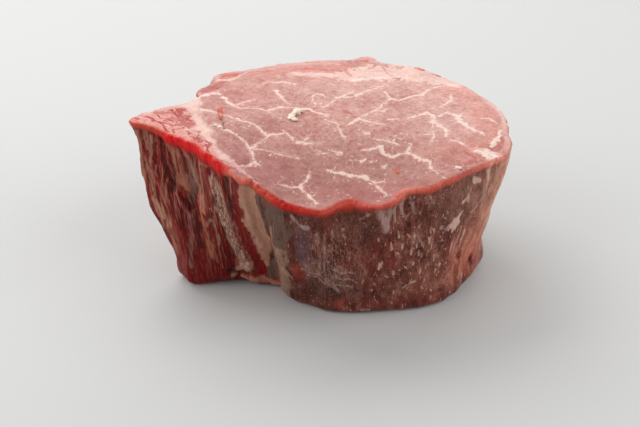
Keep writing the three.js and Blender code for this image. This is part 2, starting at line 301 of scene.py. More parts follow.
VEINS = strokes_of([
    ("back vein",
     (2.2, 1.6), [(-33, 3), (-31, 7), (-29, 9), (-27.5, 9.5)],
     (1.6, 1.0), [(-27.5, 9.5), (-25.5, 6.5), (-23.5, 3), (-20.5, 0.5)],
     (0.9, 0.4), [(-27.5, 9.5), (-27.5, 11.5)],
     (0.9, 0.6), [(-20.5, 0.5), (-16, 0.5), (-13.5, -0.5), (-10.5, 2), (-7.5, 2), (-5.5, 1)],
     (1.1, 0.5), [(-5.5, 1), (-3, 1.3), (-2, 0), (-0.2, -1), (2, -3)],
     (0.7, 0.6), [(-22, 2.5), (-21, 4), (-19.5, 5.5), (-17.5, 7)],
     (0.4, 0.2), [(-13.5, -0.5), (-12, -3), (-10, -5)]),
    ("slanting vein", (1.1, 0.4), [(-12, 12.5), (-10.5, 8.5), (-8.5, 4)]),
    ("left vein",
     (1.2, 0.7), [(-30.5, -2.5), (-28.5, -3), (-26.5, -3.5), (-24, -5)],
     (0.7, 0.8), [(-24, -5), (-21.5, -6.5), (-17, -8.5), (-13, -12.5)],
     (0.8, 0.5), [(-13, -12.5), (-11.5, -12), (-8.5, -11), (-5.5, -14.5)],
     (1.3, 0.4), [(-5.5, -14.5), (-3.5, -14.8), (-1, -14), (1, -13.5)],
     (0.7, 0.2), [(-5, -14.5), (-3, -12.5), (-2, -10.5)]),
    ("front left vein",
     (0.6, 0.7), [(-25, -10.5), (-24, -12.5), (-21, -14), (-19.5, -15), (-17, -18.5)],
     (0.9, 0.5), [(-17, -18.5), (-15, -16), (-12.5, -12.5)],
     (0.8, 0.5), [(-17, -18.5), (-16.5, -21), (-15.5, -23.5), (-15.5, -25)],
     (0.7, 0.4), [(-15.5, -23.5), (-17.5, -25.5), (-20, -26)],
     (0.7, 0.3), [(-15.5, -23.5), (-14, -25)],
     (0.45, 0.3), [(-16.5, -18.5), (-13.5, -18.5), (-9, -20), (-4.5, -20)]),
    ("front vein",
     (0.9, 0.5), [(-5, -30), (-3, -26.5), (-2.5, -24)],
     (0.8, 0.5), [(-5, -30), (-7.5, -30.5), (-9.5, -30)],
     (0.7, 0.9), [(-5, -30), (-3, -33), (-1, -35.5)]),
    ("front middle vein",
     (0.6, 1.2), [(1, -22.5), (3.5, -24), (5.5, -24)],
     (1.2, 1.0), [(5.5, -24), (8, -25), (10.5, -25.2)],
     (1.0, 0.4), [(10.5, -25.2), (11.5, -26.5), (13.5, -27.5), (15.5, -27.5)],
     (0.7, 0.3), [(13.5, -29), (15, -31), (15.5, -32.5)]),
    ("right vein",
     (0.5, 1.0), [(10, -16.5), (11.5, -16.8), (13.5, -16), (15, -16.5)],
     (1.4, 0.8), [(15, -16.5), (15.6, -18.5), (17, -19.5), (19, -19), (21, -18.5)],
     (0.8, 1.3), [(21, -18.5), (23, -20), (24, -21.5), (25.5, -22)],
     (1.1, 0.4), [(25.5, -22), (26.2, -23.5), (26, -25.5), (27.5, -28)],
     (1.0, 0.6), [(21, -18.5), (22, -15.8)]),
    ("middle vein",
     (0.6, 1.2), [(6.5, -7.5), (8, -6), (9.5, -4.8)],
     (1.1, 0.4), [(9.5, -4.8), (12.5, -6), (16, -7)]),
    ("long back vein",
     (0.5, 0.9), [(11, -3), (13.5, 0.5), (16, 4), (18.5, 9.5)],
     (1.0, 0.7), [(18.5, 9.5), (21, 9), (25.5, 12), (27.5, 12.5), (30, 16), (34.5, 19.5)],
     (0.8, 0.8), [(18.5, 9.8), (17.5, 14)],
     (0.6, 0.4), [(14, 1), (16.5, 1), (17.5, 2.5)]),
    ("upper vein",
     (0.6, 1.0), [(1, 2), (2.5, 4), (3.5, 6), (4.5, 8.5)],
     (1.0, 0.5), [(4.5, 8.5), (7, 11), (9, 14.5)],
     (0.9, 0.5), [(4.5, 8.5), (8.5, 9.5), (13.5, 15), (18.5, 19)]),
    ("right back vein",
     (0.6, 1.2), [(22.5, -3.2), (24.5, -1.5), (27.3, 0.6)],
     (1.2, 1.4), [(27.3, 0.6), (29, -0.6), (28.5, -4.2), (30, -6)],
     (1.3, 0.7), [(30, -6), (31.7, -8.5), (31.3, -11.5)],
     (0.7, 0.3), [(28.4, -4.5), (28, -8)]),
    ("right edge vein",
     (0.7, 1.2), [(30.5, -0.8), (33, 1.4), (35, 0)],
     (1.4, 1.8), [(35, 0), (35.6, -3.7), (37.3, -6.3)],
     (1.6, 0.6), [(37.3, -6.3), (38.5, -8.4), (40.8, -11)],
     (0.9, 0.4), [(35.4, -1.4), (37, 1.2)]),
    ("ring", (0.6, 0.6), [(0.5, 4.5), (-1, 4.3), (-2.4, 6), (-2.2, 8.2), (-1, 10.2), (0.6, 10), (1.5, 8.6)]),
    ("hook", (0.5, 0.7), [(2, -5.5), (4, -6.5), (5, -9), (5.5, -11.3), (6.8, -11.6)]),
    ("short vein",
     (0.5, 0.8), [(13.5, -13), (16, -14), (19, -15.5)],
     (0.6, 0.4), [(17.8, -14), (18.6, -12)]),
    ("small hook", (0.7, 0.4), [(26, -11), (28.5, -10.8), (27.5, -14)]),
    ("right fleck", (0.9, 0.4), [(32.5, -13.8), (34.5, -15.5), (36, -17)]),
    ("back fleck", (0.9, 0.5), [(35.5, 12), (34.6, 8), (31.5, 4)]),
    ("far right vein", (0.7, 0.5), [(41, -2.6), (43, -2.5), (44.5, -5)]),
    ("short streak", (0.7, 0.4), [(17.5, -4.3), (20, -3.8)]),
    ("left fleck", (0.5, 0.8), [(3, -16.2), (5, -17)]),
    ("dot by the slit", (1.4, 1.0), [(-25.9, -10.9), (-24.9, -11.2)]),
    ("dot at the right edge", (1.3, 1.2), [(32.3, -26.7), (32.6, -26.7)]),
    ("dot in the right front", (0.9, 0.7), [(11.2, -10.5), (12, -10.4)]),
    ("left dot", (0.9, 0.6), [(-0.4, -17.6), (1.6, -17.4)]),
    ("grains of fat",
     (0.8, 0.6), [(8.4, -19.6), (8.9, -19.4)],
     (0.9, 0.7), [(10.3, -20.1), (10.9, -19.9)],
     (0.7, 0.5), [(12.2, -20.8), (12.6, -20.7)],
     (1.0, 0.7), [(15.2, -22.6), (15.9, -22.4)],
     (0.6, 0.5), [(19.5, -13.2), (19.9, -13.3)]),
])

ON_WALL = strokes_of([
    ("edge streak", "tan", (1.3, 0.8), [(189, 41), (191, 33), (192.5, 27)]),
    ("pale streak", "pale", (0.9, 0.7), [(191.5, 40), (192.5, 34), (194, 26)]),
    ("thin streaks", "tan",
     (0.6, 0.5), [(194, 33), (194.5, 24)],
     (0.6, 0.5), [(196, 33), (196, 23.5)],
     (0.8, 0.5), [(197.5, 30), (197.5, 22.5)]),
    ("dark stripe", "dark", (1.2, 2.0), [(193.5, 40.5), (195.5, 35.5), (198, 32), (199.5, 28)]),
    ("tan band", "tan", (2.6, 3.6), [(195.8, 40), (197.8, 38), (199.5, 35.5), (201, 32.5), (202.5, 29.5)]),
    ("second lobe of the band", "drab", (1.2, 2.4), [(199.8, 39), (201.5, 37.5), (203.8, 35.5), (205, 31.5)]),
    ("gap in the band", "dark", (0.6, 1.1), [(198.6, 39.2), (200.8, 36.2), (202, 33)]),
    ("foot of the band", "grey", (3.8, 1.4), [(203.2, 31), (203.8, 28), (203.8, 25)]),
    ("lilac streak", "lilac",
     (0.6, 1.1), [(199, 28.5), (202, 24.5), (204, 21.5), (205, 16)],
     (1.0, 1.0), [(205, 16), (205.5, 11.5), (206, 6.5)]),
    ("tan patch", "sheet", (2.0, 3.2), [(194.5, 23), (196.3, 20), (198, 16.5)]),
    ("tan patch, foot", "tan", (2.8, 1.2), [(198, 16.5), (199, 13.5), (199.5, 7.5)]),
    ("dark strip beside the patch", "dark", (1.1, 1.2), [(202, 23), (203, 18)]),
    ("fork", "dark", (1.2, 1.8), [(203.8, 26), (204.8, 23), (206.4, 18.5), (207.2, 12.5)]),
    ("orange streak", "orange", (0.8, 1.0),
     [(205.8, 26), (207, 22.5), (208.2, 19.5), (209, 15.5), (210, 9.5)]),
    ("pink patch", "pink", (2.2, 1.8), [(207.6, 27.5), (207.8, 23.5)]),
    ("pale line", "pale", (0.7, 0.8), [(207.2, 37), (207.4, 32.5), (206.6, 28.5)]),
    ("hook of the pale line", "pale", (0.6, 0.4), [(207.2, 36.8), (211, 37.5), (214, 38)]),
    ("short pale line", "pale", (0.4, 0.5), [(211, 29.5), (210.4, 24.5)]),
    ("red stripe", "red", (1.4, 1.4), [(211.5, 36), (210.6, 30), (210, 25.5)]),
    ("red stripe beside it", "red", (0.9, 0.6), [(215, 37), (213.5, 31.5)]),
    ("granular streak", "granular",
     (2.8, 3.3), [(214.2, 34), (215, 30.5), (215.2, 25.5), (215.7, 20.5)],
     (2.8, 3.1), [(215.7, 20.5), (216.6, 15), (217.8, 11.5), (219.2, 7.5)]),
    ("loop", "pale", (0.5, 0.5), [(209, 19), (209.8, 21.4), (211, 20.6), (211.8, 17), (212, 14)]),
    ("low streaks", "tan",
     (0.6, 0.5), [(211.8, 15), (212.4, 6.5)],
     (0.5, 0.4), [(210.4, 13.5), (211.2, 8)]),
    ("slit beside the granular streak", "dark", (0.5, 1.0), [(213.2, 22), (214, 16), (215.6, 10)]),
    ("dark gap", "dark", (1.4, 1.5), [(221, 36), (220.5, 30), (219.5, 25)]),
    ("thin pink streak", "pink", (0.5, 0.4), [(222.6, 36.6), (221.8, 31)]),
    ("broad red stripe", "red",
     (2.2, 2.0), [(226, 37.5), (224, 29.5), (222.4, 21.5)],
     (2.0, 2.4), [(222.4, 21.5), (223, 16.5), (223.6, 11.5), (224.4, 5.5)]),
    ("sinew sheet", "sheet",
     (5.2, 7.6), [(229.8, 35.4), (229.5, 28), (229.6, 22.5)],
     (7.6, 2.0), [(229.6, 22.5), (229.4, 16), (227.8, 9)]),
    ("second sheet", "grey",
     (3.6, 6.0), [(240.4, 34.6), (242.4, 32), (243.4, 29)],
     (6.0, 4.2), [(243.4, 28.4), (242.4, 25), (241.8, 20)]),
    ("second sheet, foot", "drab", (4.2, 4.4), [(241.8, 20), (241.4, 13), (240.4, 8), (238.4, 3)]),
    # The light on the sheets is painted highlight, and the shade between them and the dark of their fold and
    # of its foot are painted shade.
    ("light on the sheet", "pale", (0.9, 1.2), [(228, 32), (227.3, 27), (227.1, 21), (228, 16)]),
    ("streak on the sheet", "pale", (0.5, 0.6), [(231, 33), (231.4, 27), (231.2, 20)]),
    ("light on the second sheet", "pale", (0.5, 0.8), [(239.8, 26), (239.2, 20), (238.6, 13), (237.6, 7)]),
    ("shade between the sheets", "grey", (2.6, 3.4), [(234.6, 33.6), (235.6, 28), (236.8, 21)]),
    ("fold of the sheet", "umber", (0.7, 1.3), [(236.4, 34), (236.6, 29), (237.8, 25), (238, 20.5)]),
    ("fold of the sheet, foot", "grey", (1.5, 2.6), [(238, 20.5), (234.6, 14), (230.6, 9), (228.6, 5)]),
    ("tongue of the second sheet", "pale", (1.6, 0.9), [(242.6, 12.5), (245.8, 9.6)]),
    ("ring mark", "umber", (0.5, 0.4), [(243.2, 23.4), (244, 23)]),
    ("shelf on the board", "pink", (2.0, 2.4), [(217, 2.8), (223, 2.6), (229, 1.6), (238, 2)]),
    ("lumps over the cavity", "pale", (1.3, 1.8), [(214, 3.4), (216, 6.6), (220.4, 6.8)]),
    ("white blotch", "milky", (0.6, 1.3), [(250, 31.4), (252, 29.4), (255.4, 28.6)]),
    ("scratches", "milky",
     (0.3, 0.6), [(251.4, 14.2), (255, 13.4), (259, 13.2)],
     (0.5, 0.3), [(254, 12.4), (258.6, 12), (262.6, 10)],
     (0.3, 0.5), [(259.6, 14), (262, 11.6), (265.4, 9.2)],
     (0.5, 0.3), [(262.6, 12.6), (265.6, 10.4), (267.8, 7.6)]),
    ("lines of the web", "milky",
     (0.35, 0.5), [(259.4, 27.5), (259.8, 16)],
     (0.3, 0.45), [(262, 27), (261.8, 15)],
     (0.3, 0.4), [(264.6, 27.5), (264.6, 16)],
     (0.3, 0.35), [(267, 25), (266.6, 16)]),
    ("swirls of the web", "milky",
     (0.4, 0.4), [(265, 16), (268, 15), (271, 15.6), (274, 15.4)],
     (0.4, 0.3), [(265, 13.4), (269, 12.8), (272.6, 13.4), (275, 12)],
     (0.4, 0.3), [(267, 10.6), (270.4, 10.4), (273, 11), (274, 8.6)]),
    ("pale patch at the foot", "milky", (1.1, 0.6), [(277.6, 1.8), (281.4, 1.5)]),
    ("white crumb in the wall", "bright", (0.9, 0.9), [(268.8, 27), (269.2, 27)]),
    ("slanting streak", "milky", (0.5, 0.6), [(276, 29.2), (279.4, 31)]),
    ("milky streaks", "milky",
     (2.3, 1.2), [(283.4, 33), (285.2, 27.2)],
     (1.3, 0.7), [(286.8, 33), (286.6, 27.4)],
     (0.9, 0.5), [(289.6, 33), (289.4, 28.4)],
     (1.2, 0.7), [(293.2, 33.4), (293.4, 29)],
     (0.9, 0.5), [(297, 34), (297.4, 30)]),
    ("fat of the back", "suet",
     (15.0, 18.0), [(64, 42), (80, 38), (98, 40)],
     (14.0, 9.0), [(66, 34), (76, 28), (84, 22)],
     (8.0, 6.0), [(96, 34), (100, 27), (97, 21)],
     (7.0, 2.0), [(78, 22), (74, 14), (77, 7)],
     (6.0, 3.0), [(104, 41), (112, 38), (117, 33)]),
    ("silver skin of the back", "silver",
     (5.0, 8.0), [(124, 36), (127, 27), (123, 17)],
     (7.0, 3.0), [(123, 15), (127, 9), (125, 5)]),
    ("vessel of the back", "fresh red", (0.7, 0.4), [(88, 40), (91, 34), (88, 29), (91, 22)]),
    ("branch of the vessel", "fresh red", (0.5, 0.3), [(88, 29), (84, 25), (82, 20)]),
    ("second vessel of the back", "fresh red", (0.6, 0.3), [(70, 38), (68, 31), (71, 25)]),
    ("fat behind the seam", "suet",
     (4.6, 6.0), [(158, 41), (161, 32), (158, 24)],
     (5.0, 2.2), [(158, 22), (162, 14), (159, 6)]),
    ("streaks of the back", "suet",
     (0.9, 0.5), [(114, 40), (116, 31), (114, 23)],
     (0.7, 0.5), [(137, 37), (140, 26), (138, 17)]),
    ("pale streak of the back", "pale", (1.0, 0.7), [(147, 40), (145, 30), (148, 20), (146, 10)]),
    ("threads of the back", "milky",
     (0.5, 0.4), [(118, 34), (123, 30), (130, 29)],
     (0.4, 0.4), [(119, 18), (125, 21), (131, 20)],
     (0.4, 0.3), [(136, 31), (142, 26), (149, 25)]),
    ("fat of the right side", "suet",
     (2.2, 3.4), [(36, 38), (38, 30), (35, 23)],
     (2.4, 0.9), [(35, 21), (38, 14), (36, 8)]),
    ("streak of the right side", "pale", (1.0, 0.6), [(26, 39), (27, 28), (25, 18)]),
    ("second streak of the right side", "bright", (0.9, 0.5), [(15, 36), (17, 27), (16, 21)]),
    ("third streak of the right side", "pale", (1.1, 0.6), [(6, 39), (5, 29), (8, 17)]),
    ("fourth streak of the right side", "suet", (1.2, 0.6), [(354, 40), (355, 32), (353, 25)]),
    ("fat of the side muscle's back", "suet", (2.4, 3.6), [(176, 40), (177, 31), (175, 23)]),
    ("streaks of the side muscle's back", "tan",
     (1.2, 0.8), [(170, 39), (171, 28), (169, 16)],
     (1.6, 1.0), [(182, 40), (184, 30), (183, 17)]),
    ("pale streak of the side muscle's back", "pale", (0.8, 0.6), [(186, 36), (187, 24), (186, 12)]),
    ("leaf", "leaf",
     (1.5, 1.8), [(314.2, 22.7), (316.8, 24.3)],
     (1.5, 1.9), [(313, 24), (315.6, 25.6)]),
    ("tip of the leaf", "leaf", (1.9, 0.9), [(315.6, 24.8), (318.2, 27.2)]),
    ("drip under the right blob", "bright", (1.4, 0.5), [(327.2, 37.5), (328, 34.5), (328.2, 31)]),
    ("foot of the drip", "pale", (0.7, 0.5), [(328, 30), (327.2, 24)]),
    ("second drip", "pale", (1.0, 0.5), [(331, 38), (331.6, 32)]),
    ("smudge left of the leaf", "milky", (1.2, 0.8), [(309, 24.4), (311.4, 23.6)]),
    ("fleck beside the leaf", "pale", (0.7, 1.0), [(323, 26), (326.4, 28.4)]),
    ("star under the edge", "bright", (0.8, 0.5), [(317.6, 30), (320, 31), (321, 33)]),
    ("arm of the star", "bright", (0.6, 0.4), [(320, 31), (320.6, 29.6)]),
    ("blob under the edge", "bright", (1.6, 1.5), [(322.4, 35.4), (323.6, 34.8)]),
    ("cream streak at the right", "bright", (0.9, 0.5), [(337, 38), (338, 30), (337, 24)]),
    ("cream streak at the end", "bright", (1.2, 0.7), [(343, 38), (344, 30), (345, 20)]),
    ("pale line of the right end", "cream", (0.9, 0.6), [(348, 40), (349, 32), (347, 23)]),
    ("short streak under the leaf", "pale", (0.8, 0.5), [(319.6, 22.4), (318.8, 17.6)]),
    ("streak over the hole", "bright", (0.6, 0.4), [(321.6, 20.6), (320.8, 15.8)]),
    ("second streak over the hole", "pink", (0.8, 0.5), [(324.4, 20), (323.4, 12.6)]),
    ("streak left of the hole", "bright", (0.6, 0.4), [(315.6, 18.4), (314.8, 15.2)]),
    ("streaks below the hole", "pink",
     (0.8, 0.5), [(318.4, 10.6), (317.4, 5.4)],
     (0.7, 0.4), [(322.6, 9.6), (321.8, 4.6)]),
    ("fleck at the right foot", "bright", (0.7, 0.4), [(325.4, 5.4), (324.6, 2.8)]),
    ("salmon streaks", "pink",
     (0.9, 0.6), [(329, 21), (328, 15), (326, 11)],
     (0.7, 0.6), [(333, 20), (333, 14)]),
    ("light drips", "pale",
     (0.8, 0.5), [(326.4, 34), (328, 24)],
     (0.9, 0.5), [(332, 36), (334, 22)]),
    ("low streak of the front", "bright", (0.7, 0.5), [(294, 8.6), (297, 9.8), (299, 10.2)]),
    # The deep red in the holes is painted shade.
    ("hole", "deep red", (1.7, 1.4), [(320.6, 13), (321, 11.6)]),
    ("larger hole", "deep red", (1.9, 1.7), [(330.4, 9.6), (331.6, 7)]),
    ("nick under the cut", "dark", (0.4, 0.3), [(271.6, 34.4), (272.4, 32)]),
])

# Bright flecks of fat in the front of the wall.
WALL_FLECKS = [
    (291, 24.5), (292, 21.5), (297, 24), (298, 21), (300, 21), (302, 19.5), (297, 16), (284, 17.5),
    (283, 16), (301, 12.5), (303, 13.5), (304, 14.5), (307, 15), (308, 11), (310, 20.5), (311, 18),
    (304, 24), (295, 9.5), (297, 10), (277, 11.5), (282, 11), (319, 18), (318, 16), (289, 14), (278, 15),
    (290, 19), (288, 21.5), (299, 22.5), (301, 20.4), (303.4, 21.2), (299.4, 18.6), (300.6, 17.6),
    (302.6, 17.4), (304.6, 19.4), (296, 19.2),
]

# The clefts and the slit are sunk into the skin, and the dark in them is painted shade.
CLEFTS = [
    ("cavity", (1.3, 1.1), [(214, 4.8), (216.5, 4.4)]),
    ("fold of the sheet", (0.5, 0.8), [(236.6, 27), (237.4, 21)]),
    ("fold of the sheet, foot", (0.8, 0.5), [(237.4, 21), (233, 14), (229.4, 8)]),
    ("end of the dark stripe", (0.6, 0.8), [(198.6, 30), (201.6, 27), (204, 23)]),
    ("hole", (0.7, 0.6), [(320.8, 12.4), (321.2, 12)]),
    ("larger hole", (0.8, 0.6), [(330.8, 8.6), (331.2, 8)]),
]

SLITS = [("slit beside the seam", (0.5, 0.4), [(-24.4, -7), (-24.1, -9.5), (-23.8, -12)])]

draw = random.Random(11)
FAR = 4.0  # past this many mm, a stroke no longer counts
JOIN = 0.15  # how softly strokes that meet run together, in mm
BENDS = ((0.4, 3.2), (0.3, 1.2), (0.18, 0.5))  # how far strokes stray from their routes, and over what, in mm
WALL_BENDS = 0.65  # the share of that by which the strokes on the wall stray
UNEVEN = (0.9, 1.3)  # how much a stroke's width changes, as a share of it, and over how many mm
BROAD = 2.0  # strokes wider than this many mm lie under the finer ones
TOP_LIGHT, WALL_LIGHT = 1.5, 0.92  # colours are given as they look in the light, so they are divided by it


def tint(colour, light=1.0):
    """A colour given from 0 to 255, as it looks in some light, as shares of red, green and blue."""
    shares = [value / 255 for value in colour]
    shares = [s / 12.92 if s <= 0.04045 else ((s + 0.055) / 1.055) ** 2.4 for s in shares]
    return np.array([min(share / light, 0.95) for share in shares])


def nearest(strokes, places, uneven):
    """Each place's distance from the edge of its nearest stroke, in mm, and the number of that stroke."""
    field, owner = np.full(len(places), FAR), np.zeros(len(places), dtype=int)
    for number, (*_, wide, route) in enumerate(strokes):
        points = np.array(route, dtype=float)
        reach = FAR + max(wide)
        near = np.flatnonzero(((places > points.min(0) - reach) & (places < points.max(0) + reach)).all(1))
        lengths = np.linalg.norm(np.diff(points, axis=0), axis=1)
        shares = np.concatenate(([0], np.cumsum(lengths))) / lengths.sum()
        own = np.full(len(near), FAR)
        for start, end, share, until in zip(points, points[1:], shares, shares[1:]):
            along = end - start
            t = np.clip((places[near] - start) @ along / (along @ along), 0, 1)
            off = np.linalg.norm(places[near] - start - t[:, None] * along, axis=1)
            half = (wide[0] + (wide[1] - wide[0]) * (share + (until - share) * t)) / 2
            own = np.minimum(own, off - half * uneven[near])
        owner[near] = np.where(own < field[near], number, owner[near])
        field[near] = -JOIN * np.logaddexp(-field[near] / JOIN, -own / JOIN)
    return field, owner


def on_skin(route):
    """A route given in degrees round and mm above the board, as points on the wall."""
    points = []
    for round_, up in route:
        towards = Vector((-math.cos(math.radians(round_)), -math.sin(math.radians(round_)), 0))
        axis = Vector((*(FOOT_AXIS + (TOP_AXIS - FOOT_AXIS) * up / THICKNESS), up))
        found = surface.ray_cast((axis - towards * 2 * THICKNESS) * MM, towards)[0]
        if found:
            points.append(found / MM)
    return points


wall_rows = [(name, kind, wide, on_skin(route)) for name, kind, wide, route in ON_WALL]
laid = {}
for layer, broad in (("broad", True), ("thin", False)):
    laid["face " + layer] = [row for row in ON_FACE if (max(row[2]) > BROAD) == broad]
    laid["wall " + layer] = [row for row in wall_rows if (max(row[2]) > BROAD) == broad]
for round_, up in WALL_FLECKS:
    turn, long = draw.uniform(-0.5, 0.5), draw.uniform(0.6, 2.0)
    route = [(round_, up), (round_ + turn, up + long)]
    route += [(round_ + 3 * turn, up + long * 1.2)] * draw.choice((0, 1))
    laid["wall thin"].append(("fleck", "bright", (draw.uniform(0.3, 0.55), 0.2), on_skin(route)))

# The skin is made finer along the upper edge and under thin strokes, and again under the veins.
FINER = ((0.9, 0.5), (0.4, None))  # how far from a stroke on the face, and on the wall, in each round
FINER_EDGE = (0.2, 0.93, 30)  # how upright the normals are there, from and to, and the least height in mm
for face_reach, wall_reach in FINER:
    coarse = Skin(skin)
    even, up = np.ones(len(coarse.grain)), coarse.normals[:, 2]
    close = nearest(VEINS + laid["face thin"], coarse.grain[:, :2], even)[0] < face_reach
    close &= coarse.top > 0.5
    if wall_reach:
        close |= nearest(laid["wall thin"], coarse.spots, even)[0] < wall_reach
        close |= (up > FINER_EDGE[0]) & (up < FINER_EDGE[1]) & (coarse.spots[:, 2] > FINER_EDGE[2])
    edges = [edge for edge in skin.edges if close[edge.verts[0].index] and close[edge.verts[1].index]]
    bmesh.ops.subdivide_edges(skin, edges=edges, cuts=1, use_grid_fill=True)
    skin.verts.index_update()

place = Skin(skin)
grain, degrees, heights = place.grain, place.degrees, place.spots[:, 2]
astray = sum(
    far * np.column_stack([rough(grain, long, 8, 2, seed) for seed in (1, 2, 3)]) for far, long in BENDS
)
uneven = 1 + UNEVEN[0] * rough(grain, UNEVEN[1], 3, 2, 4)
flat = (grain + astray)[:, :2]
FOOT_DRIFT = (7, 22)  # how far the pattern of the underside is moved, and over how many mm
drift = np.column_stack([rough(grain, FOOT_DRIFT[1], 1, 2, seed) for seed in (5, 6)]) * FOOT_DRIFT[0]
flat = flat + drift * place.foot[:, None]
cut_face = place.top + place.foot
wall = 1 - cut_face

# The side muscle: by degrees on the wall, and on the cut faces by the line of the seam.
SIDE_WALL = (200, 27)
SEAM_LINE = np.array([(-34.5, 1.5), (-24.0, -22.0)])
across = np.array([-1, 1]) * (SEAM_LINE[1] - SEAM_LINE[0])[::-1]
across = across / np.linalg.norm(across) * np.sign(across @ (-1, 0))
side_muscle = wall * bell(turned(degrees, SIDE_WALL[0]), SIDE_WALL[1], 8)
side_muscle += (1 - wall) * ease((flat - SEAM_LINE[0]) @ across, -0.6, 0.6)

# Distance down the wall from the upper edge, in mm. It is negative on the upper face.
EDGE_SMOOTHING = 8
from_edge = to_edge(place)
ends = np.array([(edge.verts[0].index, edge.verts[1].index) for edge in skin.edges]).T
joined = np.bincount(ends.ravel(), minlength=len(grain))
for _ in range(EDGE_SMOOTHING):
    around = np.bincount(ends[0], from_edge[ends[1]], len(grain))
    around = around + np.bincount(ends[1], from_edge[ends[0]], len(grain))
    from_edge = (from_edge + around / joined) / 2
past_edge = np.where(place.foot > 0.5, -FAR, from_edge)

# Each layer of strokes: the distance to the nearest one, its colour, and how far it stands up. Those of
# the face end a little before the edge.
STROKE_END, VEIN_END = 0.2, 0.3
fields, paints, raised = {}, {}, np.zeros(len(grain))
surfaces = (("face ", flat, TOP_LIGHT), ("wall ", place.spots + astray * WALL_BENDS, WALL_LIGHT))
for layer, soft in (("broad", 0.7), ("thin", 0.35)):
    found = []
    for surface_name, places, light in surfaces:
        strokes = laid[surface_name + layer]
        field, owner = nearest(strokes, places, uneven)
        rows = np.array([[*tint(KINDS[kind][0], light), KINDS[kind][1]] for name, kind, *_ in strokes])
        found.append((field, rows[owner]))
    (on_face, face_paint), (on_wall, wall_paint) = found
    on_face = np.maximum(on_face, past_edge * 0.8 - STROKE_END)
    on_wall = np.where(cut_face > 0.8, FAR, on_wall)
    fields[layer] = np.minimum(on_face, on_wall)
    paint = np.where((on_wall < on_face)[:, None], wall_paint, face_paint)
    paints[layer + "_paint"] = paint[:, :3]
    raised = raised + paint[:, 3] * ease(fields[layer], soft / 2, -soft)
fields["vein"] = np.maximum(nearest(VEINS, flat, uneven)[0], past_edge * 0.8 - VEIN_END)
clefts = nearest([(wide, on_skin(route)) for name, wide, route in CLEFTS], place.spots + astray, uneven)[0]
slits = nearest(SLITS, flat, uneven)[0]
fields["cleft"] = np.minimum(np.where(cut_face > 0.5, FAR, clefts), np.where(place.top > 0.5, slits, FAR))

# The lip round the cut edge: its bright red is partly the fresh colour of the cut and partly painted glow
# of light through the thin edge. Degrees, how far it reaches in over the face and down the wall in mm, its
# kind and its strength.
LIP_KINDS = {
    "rose": (216, 146, 134),
    "coral": (200, 80, 68),
    "scarlet": (202, 14, 12),
    "crimson": (174, 18, 12),
    "orange": (182, 60, 44),
    "amber": (200, 84, 68),
    "peach": (218, 118, 98),
}
LIP = [
    (0, 0, 0.7, "rose", 0.2),
    (40, 0, 1.0, "rose", 0.4),
    (80, 0, 1.4, "rose", 0.6),
    (120, 0, 1.2, "coral", 0.4),
    (160, 0, 1.2, "coral", 0.7),
    (184, 0, 0.9, "coral", 0.8),
    (191.5, 0.1, 1.2, "orange", 0.9),
    (195, 0.3, 2.0, "scarlet", 0.95),
    (201, 0.4, 2.6, "scarlet", 1.0),
    (212, 0.6, 2.4, "scarlet", 1.0),
    (219, 0.9, 2.8, "scarlet", 1.0),
    (224, 0.4, 1.0, "peach", 0.85),
    (234, 0.2, 1.4, "orange", 0.95),
    (240, 0.8, 1.6, "orange", 1.0),
    (248, 0.8, 1.5, "crimson", 1.0),
    (262, 0.9, 1.2, "orange", 0.95),
    (280, 1.0, 1.0, "orange", 0.9),
    (288, 0.9, 0.8, "amber", 0.85),
    (295, 0.8, 0.9, "peach", 0.85),
    (302, 0.4, 1.2, "amber", 0.85),
    (318, 0, 1.3, "amber", 0.7),
    (327, 0.3, 1.1, "peach", 0.8),
    (334, 0.2, 0.9, "peach", 0.55),
    (342, 0, 0.7, "rose", 0.3),
    (360, 0, 0.7, "rose", 0.2),
]
lip_table = np.array([(*row[:3], *tint(LIP_KINDS[row[3]], 0.95), row[4]) for row in LIP])
around = [np.interp(degrees, lip_table[:, 0], part) for part in lip_table.T[1:]]
lip_in, lip_tall, *lip_colour, lip_shown = around
lip = from_edge + lip_in
lip = np.where(lip < 0, lip, lip / (lip_in + lip_tall))

# Soft patches of colour: where, how far each way, the colour as it looks, and how strong. Some are painted
# sheen and painted shade, marked where they stand. Their places are given as those of the strokes are.
FACE_STAINS_AND_PAINTED_LIGHT = [
    # The mauve front and the dull middle front are painted shade, darker where less sheen falls.
    ("mauve front", (0, -30), (28, 9), (172, 114, 107), 0.85),
    ("dull middle front", (12, -20), (22, 8), (186, 132, 122), 0.6),
    ("violet front left", (-17, -25), (9, 7), (182, 112, 112), 0.7),
    ("haze under the fat cap", (19, 18.5), (22, 4.5), (238, 188, 176), 0.8),
    ("dusky left", (-16, -8), (10, 10), (192, 134, 126), 0.6),
    ("pink behind the seam", (-22, 8), (10, 9), (206, 134, 126), 0.6),
    ("rose of the back", (-8, 26), (24, 7), (218, 150, 140), 0.6),
    # The pale right and the pale middle back are painted sheen.
    ("pale right", (34, 4), (14, 18), (232, 186, 176), 0.6),
    ("pale middle back", (8, 14), (16, 6), (220, 172, 162), 0.4),
    ("red veil of the right", (42.5, -3), (4.5, 11), (226, 146, 132), 0.7),
    ("red veil of the right back", (38, 13), (7, 7), (226, 148, 136), 0.6),
    ("red at the front of the right", (36, -19), (9, 6), (208, 116, 100), 0.5),
    ("redder edge of the front", (16, -32), (14, 4), (190, 112, 104), 0.6),
]

